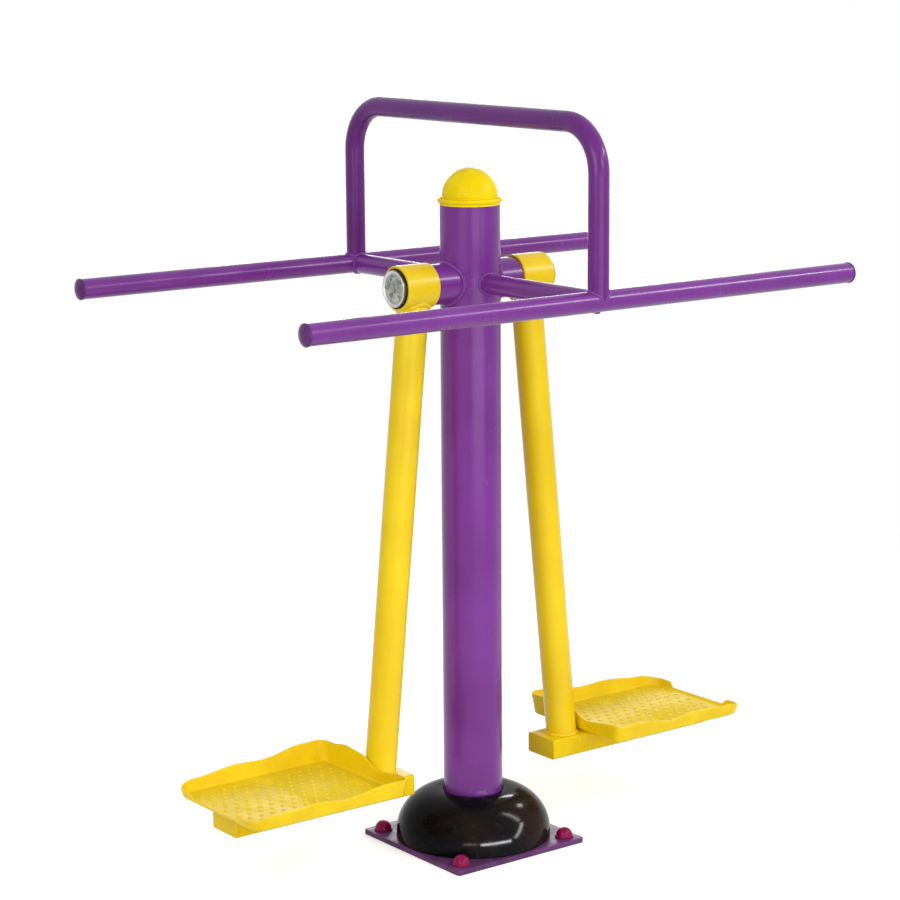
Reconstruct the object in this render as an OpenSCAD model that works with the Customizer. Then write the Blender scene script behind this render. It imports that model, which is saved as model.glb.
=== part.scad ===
// Standing swing board: a post with two hanging pedals, two long handrails and a hoop.
// Millimetres. Origin at the centre of the base plate's underside, +Z up.
// X runs along the handrails, through the swing shaft. Y runs across, the way the pedals swing.

/* [Post and base] */
// Side of the square base plate
base_side = 308; // [290:2:360]
// Thickness of the base plate
base_t = 10; // [6:1:16]
// Corner radius of the base plate
base_corner_r = 8; // [3:1:14]
// Spacing of the four fixing holes, both ways
bolt_pitch = 252; // [246:1:270]
// Diameter of each fixing hole
bolt_hole_d = 18; // [12:1:20]
// Outside diameter of the post
post_d = 114; // [100:1:127]
// Wall of the post tube
post_wall = 4; // [3:0.5:6]
// Height of the post's upper rim above the ground
post_top = 1240; // [1190:5:1400]
// Thickness of the ribs at the post's foot
rib_t = 8; // [5:1:12]
// How far each rib reaches out from the post
rib_reach = 62; // [40:1:70]
// Height of each rib above the base plate
rib_h = 58; // [40:1:64]

/* [Base cover and bolt caps] */
// Outside diameter of the domed cover
cover_d = 300; // [290:1:320]
// Wall of the cover
cover_t = 3; // [2:0.5:5]
// Height of the cover's upright foot band
cover_band_h = 10; // [6:1:18]
// Width of the flat ring at the top of the cover
cover_flat = 7.5; // [5:0.5:15]
// Gap between the cover's neck and the post
cover_gap = 1.5; // [0.5:0.5:3]
// Diameter of a bolt cap
bolt_cap_d = 36; // [30:1:40]
// Height of a bolt cap
bolt_cap_h = 19; // [15:1:24]

/* [Post cap] */
// Diameter of the cap's rolled lip
cap_lip_d = 122; // [118:1:130]
// Height of the band under the lip
cap_band_h = 4; // [2:1:12]
// Thickness of the rolled lip
cap_lip_h = 9; // [5:1:10]
// Radius of the cap's dome
cap_dome_r = 52.5; // [46:0.5:53]
// Depth of the spigot inside the post
cap_spigot = 24; // [15:1:40]
// Wall of the cap
cap_t = 3; // [2:0.5:4]

/* [Handrails and hoop] */
// Outside diameter of the handrail tube
rail_d = 38; // [32:1:42]
// Wall of the handrail tube
rail_wall = 2.5; // [2:0.5:4]
// Distance of each handrail from the post's centre
rail_y = 370; // [330:5:420]
// Depth of the handrails and of the swing shaft below the post's upper rim
axis_drop = 144; // [130:2:200]
// Half length of a handrail's tube, without its plugs
rail_half = 622; // [560:2:700]
// Diameter of a handrail plug's head
plug_d = 40; // [39:1:46]
// Thickness of a handrail plug's head
plug_h = 9; // [6:1:14]
// Height of the hoop's top tube above the handrails
hoop_rise = 312; // [254:2:364]
// Bend radius of the hoop's corners
hoop_bend = 88; // [60:2:120]

/* [Swing shaft and bearings] */
// Outside diameter of the fixed hub tube
hub_d = 76; // [74:1:80]
// Wall of the hub tube
hub_wall = 5; // [4:0.5:6]
// Half length of the hub tube
hub_half = 98; // [90:1:110]
// Thickness of the discs that hold the shaft in the hub
disc_t = 12; // [8:1:20]
// Diameter of the shaft
shaft_d = 30; // [25:1:32]
// Outside diameter of a bearing
bearing_od = 62; // [60:1:63]
// Width of a bearing
bearing_w = 16; // [14:1:18]
// Radial running clearance round a bearing
run_clear = 0.05; // [0.03:0.01:0.08]
// Outside diameter of the collars and spacers on the shaft
collar_d = 38; // [36:1:42]
// Length of the collar between the hub and the inner bearing
collar_l = 9; // [8:0.5:14]
// Length of the spacer between the two bearings
spacer_l = 25; // [18:1:34]
// Side clearance of the bearings in the sleeve
side_clear = 0.3; // [0.2:0.1:0.5]
// Half of the swing, which the stop in the hub allows each way
swing_deg = 45; // [30:1:60]
// Half angle of the stop's tongue
tongue_deg = 9; // [6:1:14]

/* [Swing sleeves and end caps] */
// Outside diameter of a swing sleeve
sleeve_d = 84; // [82:1:92]
// Length of a swing sleeve
sleeve_l = 72; // [70:1:90]
// Gap between the hub tube and a sleeve
sleeve_gap = 2; // [1:0.5:3]
// Diameter of the bright end cap
end_cap_d = 70; // [67:1:75]
// How far the end cap's rim stands out
end_cap_h = 6; // [5:0.5:9]
// Thickness of the black ring behind the end cap
gasket_t = 1.5; // [1:0.5:3]

/* [Swing arms] */
// Outside diameter of a swing arm
arm_d = 60; // [50:1:64]
// Wall of a swing arm
arm_wall = 3; // [2:0.5:5]
// Distance of an arm's centre line from the post, at the shaft
arm_x = 131; // [128:1:145]
// Outward slope of the arms
arm_splay = 5.65; // [3:0.05:8]

/* [Pedals] */
// Height of the pedal bar's upper face above the ground
bar_top = 174; // [160:1:230]
// Width of the pedal bar
bar_w = 80; // [60:1:100]
// Height of the pedal bar
bar_h = 40; // [30:1:50]
// Wall of the pedal bar
bar_wall = 3; // [2:0.5:4]
// Length of the pedal bar with its end caps
bar_l = 400; // [360:2:440]
// How far the bar reaches inward past the arm's centre
bar_heel = 52; // [42:1:56]
// Gap between an arm and its tread pan
pan_gap = 2.6; // [1:0.2:12]
// Length of the tread pan's floor
pan_l = 333; // [300:1:360]
// Width of the tread pan's floor
pan_w = 266; // [200:2:300]
// Thickness of the pan's sheet
pan_t = 3; // [2:0.5:5]
// Outward slope of the pan's long lips and outer lip
pan_flare = 16; // [5:1:22]
// Outward slope of the pan's inner lip
heel_flare = 3; // [0:0.5:5]
// Corner radius at the pan's inner end
pan_r_in = 22; // [12:1:40]
// Corner radius at the pan's outer end
pan_r_out = 42; // [20:1:60]
// Height of the inner lip
lip_heel = 35; // [25:1:45]
// How much higher the inner lip stands towards the back
heel_rise = 11; // [0:1:14]
// How much lower the inner lip lies towards the front
heel_sag = 12; // [0:1:16]
// Height of the back lip at its crest
lip_crest = 40; // [25:1:50]
// Distance of the crest from the inner end
crest_x = 50; // [30:1:90]
// Height of the back lip in its dip
lip_dip = 28; // [18:1:38]
// How much lower the front lip is cut there
front_drop = 6; // [0:1:8]
// Distance of the dip from the inner end
dip_x = 140; // [110:1:170]
// Height of the long lips on their outer swell
lip_swell = 30; // [20:1:40]
// Distance of the swell from the inner end
swell_x = 200; // [190:1:250]
// Height of the lip at the outer corners
lip_toe = 15; // [10:1:30]
// Height of the low sill where a foot steps on
lip_sill = 3; // [1:0.5:8]
// Width of the low sill
sill_w = 140; // [100:2:180]
// Diameter of a grip stud on the tread
stud_d = 10; // [6:1:14]
// Height of a grip stud
stud_h = 1.6; // [1:0.1:3]
// Spacing of the grip studs
stud_pitch = 24; // [18:1:36]
// Diameter of the two drain holes in each tread
drain_d = 8; // [6:1:14]
// Distance of a drain hole from the tread's middle line
drain_y = 72; // [60:1:90]

/* [Hidden] */
$fn = 72;
eps = 0.01;

purple = [0.42, 0.15, 0.54];
yellow = [0.95, 0.80, 0.10];
black = [0.04, 0.04, 0.05];
crimson = [0.60, 0.07, 0.30];
bright = [0.80, 0.81, 0.82];
steel = [0.56, 0.57, 0.60];
rubber = [0.09, 0.09, 0.10];

post_r = post_d / 2;
post_in = post_r - post_wall;
axis_z = post_top - axis_drop;         // height of the shaft and of the handrails
hoop_z = axis_z + hoop_rise;
rail_r = rail_d / 2;
rail_in = rail_r - rail_wall;
hub_r = hub_d / 2;
hub_in = hub_r - hub_wall;
shaft_r = shaft_d / 2;
sleeve_r = sleeve_d / 2;
seat_r = bearing_od / 2 + run_clear;   // the sleeve's bore round the bearings
fit_gap = 0.25;                        // plastic spigots in their tubes

// Places along the shaft, measured out from the post's centre
sleeve_x0 = hub_half + sleeve_gap;
sleeve_x1 = sleeve_x0 + sleeve_l;
bear_in_x = hub_half + collar_l;
spacer_x = bear_in_x + bearing_w;
bear_out_x = spacer_x + spacer_l;
clamp_x = bear_out_x + bearing_w;
clamp_t = 4;                           // washer on the end of the shaft
clamp_d = 44;
screw_d = 12;                          // screw that holds the washer
screw_head_h = 7.5;
screw_head_af = 18;
screw_l = 30;
shaft_half = clamp_x - 0.3;            // the washer bears on the inner ring
seal_t = 5;
seal_x = bear_in_x - 0.5 - seal_t;
land_r = bearing_od / 2 - 3;           // shoulder between the two bearings
tongue_l = sleeve_gap + 3.5;           // stop tongue on the hub's end
slot_depth = 4.5;                      // stop slot in the sleeve's end
tongue_r0 = hub_in + 1.5;
tongue_r1 = hub_r - 0.5;
slot_clear = 0.8;

// Pedal places, measured out from the post's centre
arm_foot_x = arm_x + (axis_z - bar_top) * tan(arm_splay);
arm_foot_r = arm_d / 2 / cos(arm_splay);
bar_x0 = arm_foot_x - bar_heel;
bar_x1 = bar_x0 + bar_l;
bar_cap_t = 4;
pan_x0 = arm_foot_x + arm_foot_r + pan_gap;
pan_x1 = pan_x0 + pan_l;
pan_top = bar_top + pan_t;             // the tread's upper surface
heel_back = lip_heel + heel_rise / 2;    // the inner lip at its two corners
heel_front = lip_heel - heel_sag / 4;
lip_max = max(lip_heel + heel_rise, lip_crest, lip_dip, lip_swell, lip_toe + 5);
corner_zone = 30;                      // where the long lips meet the inner lip
pan_past = 40;                         // how far the pan's cutting shapes run past it

// Base cover: a ring-shaped dome that closes on the post
cover_r = cover_d / 2;
neck_r = post_r + cover_gap;
cover_arc = cover_r - neck_r - cover_flat; // radius of the rounded shoulder
cover_arc_z = base_t + cover_band_h;

// Smooth step from 0 to 1
function ease(t) = let (c = min(1, max(0, t))) c * c * (3 - 2 * c);
// Height at p along a list of [place, height] stations, eased from one to the next
function wave(p, s, i = 0) =
    i >= len(s) - 2 || p < s[i + 1][0]
        ? s[i][1] + (s[i + 1][1] - s[i][1]) * ease((p - s[i][0]) / (s[i + 1][0] - s[i][0]))
        : wave(p, s, i + 1);

// The long lips rise to a crest near the arm, dip, swell and fall to the outer corners
back_lip = [[0, heel_back], [crest_x, lip_crest], [dip_x, lip_dip], [swell_x, lip_swell],
            [pan_l - 40, lip_swell - 8], [pan_l + 14, lip_toe]];
front_lip = [[0, heel_front], [crest_x, lip_crest - front_drop], [dip_x, lip_dip - front_drop],
             [swell_x, lip_swell - 1], [pan_l - 40, lip_swell - 5], [pan_l + 14, lip_toe]];
// The inner lip, from front to back: it sags beside the arm and stands high behind it
heel_lip = [[-pan_w / 2 - 20, heel_front], [-pan_w / 2 + 18, heel_front],
            [-pan_w * 0.15, lip_heel - heel_sag], [pan_w * 0.08, lip_heel + heel_rise - 3],
            [pan_w * 0.25, lip_heel + heel_rise], [pan_w / 2 - 25, heel_back - 0.5],
            [pan_w / 2 + 20, heel_back - 0.5]];
// The outer lip is low where the foot steps on, and steps up to the corners
sill_lip = [[0, lip_sill], [sill_w / 2, lip_sill], [sill_w / 2 + 18, lip_toe],
            [pan_w / 2 + 20, lip_toe + 5]];

module tube_x(x0, x1, ro, ri) {
    translate([x0, 0, 0]) rotate([0, 90, 0]) difference() {
        cylinder(r = ro, h = x1 - x0);
        if (ri > 0) translate([0, 0, -1]) cylinder(r = ri, h = x1 - x0 + 2);
    }
}

// Solid of revolution about the shaft: profile points are [radius, place along X]
module turned_x(points) {
    translate([0, 0, axis_z]) rotate([0, 90, 0]) rotate_extrude() polygon(points);
}

module other_side() {
    mirror([1, 0, 0]) children();
}

// Base and post

module plate_outline() {
    s = base_side / 2 - base_corner_r;
    square([base_side, 2 * s], center = true);
    square([2 * s, base_side], center = true);
    for (i = [-1, 1], j = [-1, 1]) translate([i * s, j * s]) circle(r = base_corner_r);
}

module at_bolts() {
    for (i = [-1, 1], j = [-1, 1]) translate([i * bolt_pitch / 2, j * bolt_pitch / 2, 0]) children();
}

module base_plate() {
    color(purple) difference() {
        linear_extrude(base_t) plate_outline();
        at_bolts() translate([0, 0, -1]) cylinder(d = bolt_hole_d, h = base_t + 2);
    }
}

// One upright rib between the plate and the post, its outer corner cut away; quarter counts from +X +Y
module rib(quarter) {
    color(purple) rotate([0, 0, 45 + 90 * quarter]) difference() {
        translate([0, rib_t / 2, base_t]) rotate([90, 0, 0]) linear_extrude(rib_t)
            polygon([[post_r - 5, 0], [post_r + rib_reach, 0], [post_r + rib_reach, 10],
                     [post_r + 12, rib_h], [post_r - 5, rib_h]]);
        translate([0, 0, base_t - 1]) cylinder(r = post_r, h = rib_h + 2);
    }
}
module rib_right_back() { rib(0); }
module rib_left_back() { rib(1); }
module rib_left_front() { rib(2); }
module rib_right_front() { rib(3); }

module post() {
    color(purple) difference() {
        translate([0, 0, base_t]) cylinder(r = post_r, h = post_top - base_t);
        translate([0, 0, base_t - 1]) cylinder(r = post_in, h = post_top);
        translate([0, 0, axis_z]) tube_x(-post_r - 1, post_r + 1, hub_r, 0);
    }
}

// Half section of the cover's outer or inner skin, drawn as radius and height
module cover_half(skin) {
    difference() {
        union() {
            translate([0, base_t]) square([cover_r - skin, cover_band_h]);
            translate([cover_r - cover_arc, cover_arc_z]) circle(r = cover_arc - skin);
            translate([0, base_t]) square([cover_r - cover_arc, cover_band_h + cover_arc - skin]);
        }
        translate([-cover_r, base_t - 2 * cover_r]) square([4 * cover_r, 2 * cover_r]);
        translate([-2 * cover_r, 0]) square([2 * cover_r, 4 * cover_r]);
    }
}

module base_cover() {
    color(black) rotate_extrude() difference() {
        cover_half(0);
        cover_half(cover_t);
        translate([0, -1]) square([neck_r, 4 * cover_r]);
    }
}

// Domed caps over the fixing holes, hollow for a nut and a bolt end
module bolt_caps() {
    foot = 4;
    dome = bolt_cap_h - foot;
    ball = (pow(bolt_cap_d / 2 - 2, 2) + pow(dome, 2)) / (2 * dome);
    color(crimson) at_bolts() translate([0, 0, base_t]) difference() {
        union() {
            cylinder(d = bolt_cap_d, h = foot);
            intersection() {
                translate([0, 0, bolt_cap_h - ball]) sphere(r = ball);
                cylinder(d = bolt_cap_d - 4, h = bolt_cap_h);
            }
        }
        translate([0, 0, -1]) cylinder(d = bolt_cap_d - 8, h = 7);
        intersection() {
            translate([0, 0, bolt_cap_h - ball]) sphere(r = ball - 2.5);
            translate([0, 0, 5]) cylinder(d = bolt_cap_d - 12, h = bolt_cap_h);
        }
    }
}

module post_cap() {
    lip_r = cap_lip_h / 2;
    lip_z = cap_band_h + lip_r;
    dome_z = cap_band_h + cap_lip_h + 3;
    shoulder = cap_dome_r + 4;
    color(yellow) translate([0, 0, post_top]) rotate_extrude() difference() {
        union() {
            square([post_r, cap_band_h + lip_r]);
            translate([cap_lip_d / 2 - lip_r, lip_z]) circle(r = lip_r);
            translate([0, cap_band_h]) square([cap_lip_d / 2 - lip_r, cap_lip_h]);
            translate([0, cap_band_h + cap_lip_h - eps]) polygon([[0, 0], [shoulder, 0],
                [shoulder - 1, 2], [cap_dome_r - 0.5, 3 + eps], [0, 3 + eps]]);
            intersection() {
                translate([0, dome_z]) circle(r = cap_dome_r);
                translate([0, dome_z - eps]) square([cap_dome_r, cap_dome_r + 1]);
            }
            translate([0, -cap_spigot]) square([post_in - fit_gap, cap_spigot + 1]);
        }
        translate([0, -cap_spigot - 1]) square([post_in - fit_gap - cap_t, cap_spigot + cap_band_h]);
        intersection() {
            translate([0, dome_z]) circle(r = cap_dome_r - cap_t);
            translate([0, -1]) square([post_in - fit_gap - cap_t, dome_z + cap_dome_r]);
        }
    }
}

// Handrails and hoop

module handrail(y) {
    color(purple) translate([0, y, axis_z]) tube_x(-rail_half, rail_half, rail_r, rail_in);
}
module front_handrail() { handrail(-rail_y); }
module back_handrail() { handrail(rail_y); }

// A mushroom plug: a rounded head with a spigot inside the tube
module rail_plug() {
    head_r = plug_d / 2;
    ball = (pow(head_r, 2) + pow(plug_h - 2, 2)) / (2 * (plug_h - 2));
    rotate_extrude() {
        square([head_r, 2]);
        intersection() {
            translate([0, plug_h - ball]) circle(r = ball);
            translate([0, 2 - eps]) square([head_r, plug_h]);
        }
        translate([0, -25]) square([rail_in - fit_gap, 26]);
    }
}

module handrail_plugs() {
    color(purple) for (y = [-rail_y, rail_y], s = [-1, 1])
        translate([s * rail_half, y, axis_z]) rotate([0, s * 90, 0]) rail_plug();
}

// Tube from the post to the middle of a handrail, coped round the post, the rail and the hoop's leg
module cross_tube(s) {
    color(purple) difference() {
        translate([0, 0, axis_z]) rotate([s * -90, 0, 0]) difference() {
            cylinder(r = rail_r, h = rail_y);
            translate([0, 0, -1]) cylinder(r = rail_in, h = rail_y + 2);
        }
        translate([0, 0, axis_z - rail_d]) cylinder(r = post_r, h = 2 * rail_d);
        translate([0, s * rail_y, axis_z]) tube_x(-rail_d, rail_d, rail_r, 0);
        translate([0, s * rail_y, axis_z]) cylinder(r = rail_r, h = rail_d);
    }
}
module front_cross_tube() { cross_tube(-1); }
module back_cross_tube() { cross_tube(1); }

// The hoop's path at tube radius r: two legs, two bends and the top
module hoop_path(r, over) {
    for (s = [-1, 1]) {
        translate([0, s * rail_y, axis_z - over]) cylinder(r = r, h = hoop_z - hoop_bend - axis_z + over);
        translate([0, s * (rail_y - hoop_bend), hoop_z - hoop_bend]) rotate([90, 0, s * 90])
            rotate_extrude(angle = 90) translate([hoop_bend, 0]) circle(r = r);
    }
    translate([0, rail_y - hoop_bend, hoop_z]) rotate([90, 0, 0])
        cylinder(r = r, h = 2 * (rail_y - hoop_bend));
}

module hoop() {
    color(purple) difference() {
        hoop_path(rail_r, 0);
        hoop_path(rail_in, 1);
        for (s = [-1, 1]) translate([0, s * rail_y, axis_z]) tube_x(-rail_d, rail_d, rail_r, 0);
    }
}

// Fixed shaft

// A part of a ring on the shaft, half_angle each way from straight up
module ring_part(x0, x1, r0, r1, half_angle) {
    translate([x0, 0, axis_z]) rotate([0, 90, 0]) rotate([0, 0, 180 - half_angle])
        rotate_extrude(angle = 2 * half_angle) translate([r0, 0]) square([r1 - r0, x1 - x0]);
}

// The hub crosses the post; a tongue on each end meets the stop slot of the sleeve
module hub_tube() {
    color(purple) {
        translate([0, 0, axis_z]) tube_x(-hub_half, hub_half, hub_r, hub_in);
        ring_part(hub_half - 1, hub_half + tongue_l, tongue_r0, tongue_r1, tongue_deg);
        other_side() ring_part(hub_half - 1, hub_half + tongue_l, tongue_r0, tongue_r1, tongue_deg);
    }
}

module shaft() {
    color(steel) difference() {
        translate([0, 0, axis_z]) tube_x(-shaft_half, shaft_half, shaft_r, 0);
        for (s = [0, 1]) mirror([s, 0, 0])
            translate([0, 0, axis_z]) tube_x(shaft_half - screw_l, shaft_half + 1, screw_d / 2, 0);
    }
}

module hub_disc() {
    color(steel) translate([0, 0, axis_z]) tube_x(hub_half - disc_t, hub_half, hub_in, shaft_r);
}
module right_hub_disc() { hub_disc(); }
module left_hub_disc() { other_side() hub_disc(); }

module collar() {
    color(steel) translate([0, 0, axis_z]) tube_x(hub_half, bear_in_x, collar_d / 2, shaft_r);
}
module right_collar() { collar(); }
module left_collar() { other_side() collar(); }

module spacer() {
    color(steel) translate([0, 0, axis_z]) tube_x(spacer_x, bear_out_x, collar_d / 2, shaft_r);
}
module right_spacer() { spacer(); }
module left_spacer() { other_side() spacer(); }

// A closed ball bearing: two rings with set-back shields between them
module bearing(x) {
    inner = collar_d / 2;
    outer = bearing_od / 2 - 5;
    w = bearing_w;
    color(bright) turned_x([[shaft_r, x], [inner, x], [inner, x + 0.8], [outer, x + 0.8], [outer, x],
        [bearing_od / 2 - 0.8, x], [bearing_od / 2, x + 0.8], [bearing_od / 2, x + w - 0.8],
        [bearing_od / 2 - 0.8, x + w], [outer, x + w], [outer, x + w - 0.8],
        [inner, x + w - 0.8], [inner, x + w], [shaft_r, x + w]]);
}
module right_inner_bearing() { bearing(bear_in_x); }
module left_inner_bearing() { other_side() bearing(bear_in_x); }
module right_outer_bearing() { bearing(bear_out_x); }
module left_outer_bearing() { other_side() bearing(bear_out_x); }

module clamp_washer() {
    color(steel) translate([0, 0, axis_z]) tube_x(clamp_x, clamp_x + clamp_t, clamp_d / 2, screw_d / 2);
}
module right_clamp_washer() { clamp_washer(); }
module left_clamp_washer() { other_side() clamp_washer(); }

module shaft_screw() {
    color(steel) translate([0, 0, axis_z]) {
        tube_x(shaft_half - screw_l, clamp_x + clamp_t + 1, screw_d / 2, 0);
        translate([clamp_x + clamp_t, 0, 0]) rotate([0, 90, 0])
            cylinder(d = screw_head_af / cos(30), h = screw_head_h, $fn = 6);
    }
}
module right_shaft_screw() { shaft_screw(); }
module left_shaft_screw() { other_side() shaft_screw(); }

// Swing: sleeve, end cap and arm

module sleeve() {
    c = 1.5;
    land0 = spacer_x + side_clear;
    land1 = bear_out_x - side_clear;
    color(yellow) difference() {
        turned_x([[seat_r, sleeve_x0], [sleeve_r - c, sleeve_x0], [sleeve_r, sleeve_x0 + c],
            [sleeve_r, sleeve_x1 - c], [sleeve_r - c, sleeve_x1], [seat_r, sleeve_x1],
            [seat_r, land1], [land_r, land1], [land_r, land0], [seat_r, land0]]);
        ring_part(sleeve_x0 - 1, sleeve_x0 + slot_depth, tongue_r0 - slot_clear,
            tongue_r1 + slot_clear, swing_deg + tongue_deg + 0.6);
    }
}
module right_sleeve() { sleeve(); }
module left_sleeve() { other_side() sleeve(); }

module shaft_seal() {
    color(rubber) translate([0, 0, axis_z]) tube_x(seal_x, seal_x + seal_t, seat_r, collar_d / 2 + 0.3);
}
module right_shaft_seal() { shaft_seal(); }
module left_shaft_seal() { other_side() shaft_seal(); }

module cap_gasket() {
    color(rubber) translate([0, 0, axis_z])
        tube_x(sleeve_x1, sleeve_x1 + gasket_t, end_cap_d / 2 + 2.5, seat_r);
}
module right_cap_gasket() { cap_gasket(); }
module left_cap_gasket() { other_side() cap_gasket(); }

// A bright dished cap: rounded rim, sunk ring and raised middle, with a spigot in the bore
module end_cap() {
    x = sleeve_x1 + gasket_t;
    rim = end_cap_h / 2;
    rim_r = end_cap_d / 2 - rim;
    boss_r = 17;
    t = 1.6;
    plug_r = seat_r - fit_gap;
    color(bright) translate([x, 0, axis_z]) rotate([0, 90, 0]) rotate_extrude() difference() {
        union() {
            square([rim_r, rim]);
            translate([rim_r, rim]) circle(r = rim);
            translate([rim_r, 0]) square([rim, rim]);
            square([rim_r, end_cap_h - 2.2]);
            polygon([[0, 0], [boss_r + 5, 0], [boss_r + 5, end_cap_h - 2.2 - eps], [boss_r, end_cap_h - 1],
                     [boss_r - 4, end_cap_h], [0, end_cap_h + 0.8]]);
            translate([0, -5]) square([plug_r, 6]);
        }
        translate([0, -6]) square([plug_r - t, 6 + end_cap_h - 2.2 - t]);
        polygon([[-1, 0], [boss_r, 0], [boss_r - 2, end_cap_h - 1.2 - t], [-1, end_cap_h - t]]);
    }
}
module right_end_cap() { end_cap(); }
module left_end_cap() { other_side() end_cap(); }

// A rod along the arm, running past its foot by more than the slope needs
module arm_rod(r, over) {
    translate([arm_x, 0, axis_z]) rotate([0, 180 - arm_splay, 0])
        translate([0, 0, -over]) cylinder(r = r, h = (axis_z - bar_top) / cos(arm_splay) + arm_d + over);
}

// Arm tube, coped round the sleeve above and cut level on the pedal bar below
module arm() {
    color(yellow) difference() {
        arm_rod(arm_d / 2, 0);
        arm_rod(arm_d / 2 - arm_wall, 1);
        translate([0, 0, axis_z]) tube_x(sleeve_x0 - 60, sleeve_x1 + 60, sleeve_r, 0);
        translate([0, -arm_d, bar_top - 2 * arm_d]) cube([arm_foot_x + 2 * arm_d, 2 * arm_d, 2 * arm_d]);
    }
}
module right_arm() { arm(); }
module left_arm() { other_side() arm(); }

// Pedals

module bar_section(inset) {
    r = 5 - inset;
    w = bar_w / 2 - inset;
    h = bar_h / 2 - inset;
    square([2 * w, 2 * (h - r)], center = true);
    square([2 * (w - r), 2 * h], center = true);
    for (i = [-1, 1], j = [-1, 1]) translate([i * (w - r), j * (h - r)]) circle(r = r);
}

// Places the bar's section at x, running outward
module along_bar(x) {
    translate([x, 0, bar_top - bar_h / 2]) rotate([90, 0, 90]) children();
}

module pedal_bar() {
    color(yellow) along_bar(bar_x0 + bar_cap_t) linear_extrude(bar_l - 2 * bar_cap_t) difference() {
        bar_section(0);
        bar_section(bar_wall);
    }
}
module right_pedal_bar() { pedal_bar(); }
module left_pedal_bar() { other_side() pedal_bar(); }

// End caps of the bar: a plate the size of the bar and a spigot inside it
module bar_caps() {
    color(yellow) {
        along_bar(bar_x0) linear_extrude(bar_cap_t) bar_section(0);
        along_bar(bar_x0 + bar_cap_t - 1) linear_extrude(15) bar_section(bar_wall + fit_gap);
        along_bar(bar_x1 - bar_cap_t) linear_extrude(bar_cap_t) bar_section(0);
        along_bar(bar_x1 - bar_cap_t - 14) linear_extrude(15) bar_section(bar_wall + fit_gap);
    }
}
module right_bar_caps() { bar_caps(); }
module left_bar_caps() { other_side() bar_caps(); }

// Rounded rectangle with its own corner radii at the inner and the outer end
module end_rounded(x0, x1, half_w, r_in, r_out) {
    translate([x0 + r_in, -half_w]) square([x1 - r_out - x0 - r_in, 2 * half_w]);
    translate([x0, -half_w + r_in]) square([r_in + eps, 2 * (half_w - r_in)]);
    translate([x1 - r_out - eps, -half_w + r_out]) square([r_out + eps, 2 * (half_w - r_out)]);
    for (j = [-1, 1]) {
        translate([x0 + r_in, j * (half_w - r_in)]) circle(r = r_in);
        translate([x1 - r_out, j * (half_w - r_out)]) circle(r = r_out);
    }
}

// A block with sloping sides and rounded corners; inset moves every side inward
module pan_block(z0, z1, inset) {
    side = inset / cos(pan_flare);
    heel = inset / cos(heel_flare);
    half = pan_w / 2 - side;
    low = z0 - bar_top;
    high = z1 - bar_top;
    grow = tan(pan_flare);
    grow_heel = tan(heel_flare);
    rise = lip_max + pan_t;
    intersection() {
        translate([pan_x0 - pan_past, 0, bar_top]) rotate([90, 0, 90]) linear_extrude(pan_l + 2 * pan_past)
            polygon([[-half - low * grow, low], [half + low * grow, low],
                     [half + high * grow, high], [-half - high * grow, high]]);
        translate([0, pan_w / 2 + pan_past, bar_top]) rotate([90, 0, 0]) linear_extrude(pan_w + 2 * pan_past)
            polygon([[pan_x0 + heel - low * grow_heel, low], [pan_x1 - side + low * grow, low],
                     [pan_x1 - side + high * grow, high], [pan_x0 + heel - high * grow_heel, high]]);
        translate([0, 0, z0]) linear_extrude(z1 - z0)
            end_rounded(pan_x0 - rise * grow_heel + inset, pan_x1 + rise * grow - inset,
                pan_w / 2 + rise * grow - inset, pan_r_in - inset, pan_r_out - inset);
    }
}

// Everything above the wavy edge of the lips
module above_lips() {
    step = 8;
    reach = pan_l + pan_past;
    top = lip_max + pan_past;
    n = floor(reach / step);
    // the two long lips; y is where each cutting shape begins, at its far side
    for (side = [[back_lip, pan_w / 2 + pan_past], [front_lip, corner_zone - pan_w / 2]])
        translate([pan_x0, side[1], pan_top]) rotate([90, 0, 0]) linear_extrude(pan_past + corner_zone)
            polygon(concat([for (i = [-3 : n]) [i * step, wave(i * step, side[0])]],
                [[n * step, top], [-3 * step, top]]));
    // the sill at the outer end
    m = floor((pan_w / 2 + 20) / 4);
    translate([pan_x1 - 12, 0, pan_top]) rotate([90, 0, 90]) linear_extrude(60)
        polygon(concat([for (i = [-m : m]) [i * 4, wave(abs(i * 4), sill_lip)]],
            [[m * 4, top], [-m * 4, top]]));
    // the inner lip
    translate([pan_x0 - 30, 0, pan_top]) rotate([90, 0, 90]) linear_extrude(30 + pan_t + 4)
        polygon(concat([for (i = [-m : m]) [i * 4, wave(i * 4, heel_lip)]],
            [[m * 4, top], [-m * 4, top]]));
}

// Grip studs in offset rows, kept clear of the lips and the drain holes
module grip_studs() {
    margin = stud_pitch * 0.8;
    rows = floor((pan_w / 2 - margin) / (stud_pitch * 0.866));
    cols = floor((pan_l - 2 * margin) / stud_pitch);
    for (j = [-rows : rows], i = [0 : cols]) {
        odd = abs(j) % 2;
        x = pan_x0 + (pan_l - cols * stud_pitch) / 2 + (i + odd / 2) * stud_pitch;
        y = j * stud_pitch * 0.866;
        near_drain = norm([x - pan_x0 - pan_l / 2, abs(y) - drain_y]) < stud_d / 2 + drain_d / 2 + 3;
        if (!(odd == 1 && i == cols) && !near_drain)
            translate([x, y, pan_top - 0.5]) cylinder(d1 = stud_d, d2 = stud_d - 2.4, h = stud_h + 0.5);
    }
}

// Pressed tread pan: a studded floor inside flared lips with a wavy edge
module tread_pan() {
    color(yellow) difference() {
        union() {
            difference() {
                pan_block(bar_top, pan_top + lip_max, 0);
                pan_block(pan_top, pan_top + lip_max + 5, pan_t);
                above_lips();
            }
            grip_studs();
        }
        for (j = [-1, 1]) translate([pan_x0 + pan_l / 2, j * drain_y, bar_top - 1])
            cylinder(d = drain_d, h = pan_t + 2);
    }
}
module right_tread_pan() { tread_pan(); }
module left_tread_pan() { other_side() tread_pan(); }

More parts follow.
